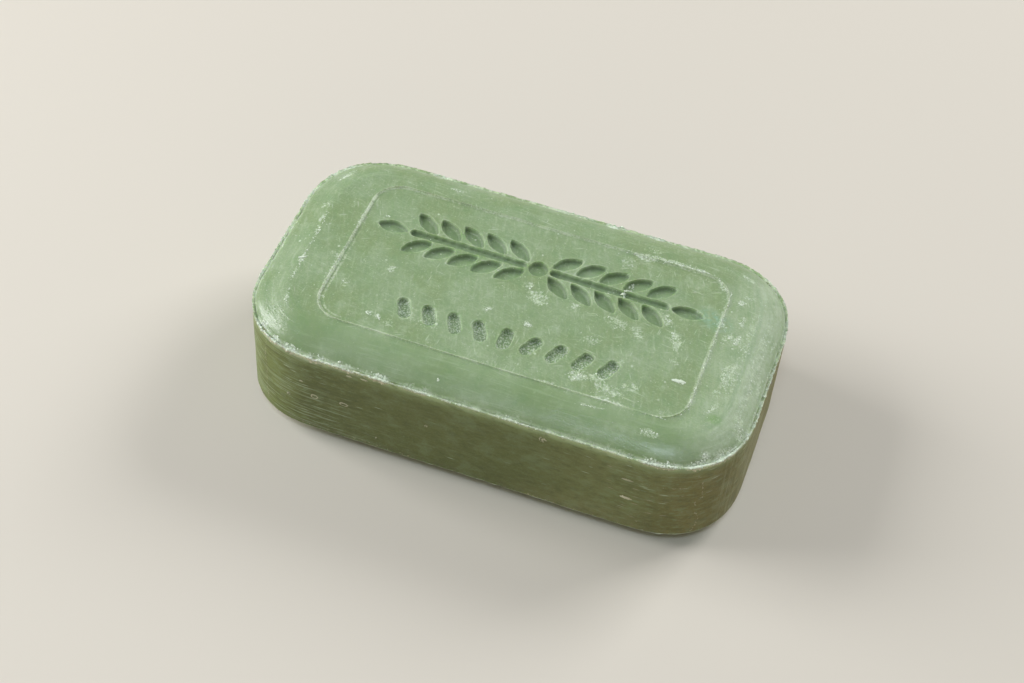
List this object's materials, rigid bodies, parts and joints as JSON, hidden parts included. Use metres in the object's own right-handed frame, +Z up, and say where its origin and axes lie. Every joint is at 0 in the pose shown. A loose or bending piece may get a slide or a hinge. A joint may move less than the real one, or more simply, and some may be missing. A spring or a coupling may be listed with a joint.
{
  "type": "bar of soap",
  "caption": "Stamped bar of green soap with rounded ends, pillowed faces, a fin along each parting edge and a leaf spray pressed into its upper panel.",
  "frame": {"origin": "middle of the face that the bar rests on", "axes": "+X along the bar, +Y across it, +Z up out of the pressed upper face"},
  "size_m": [0.096, 0.0536, 0.0258],
  "materials": {
    "soap": "waxy sage green, satin, with pale dried residue and worn edges"
  },
  "bodies": {
    "root": {"soap_bar": "soap"}
  },
  "joints": []
}
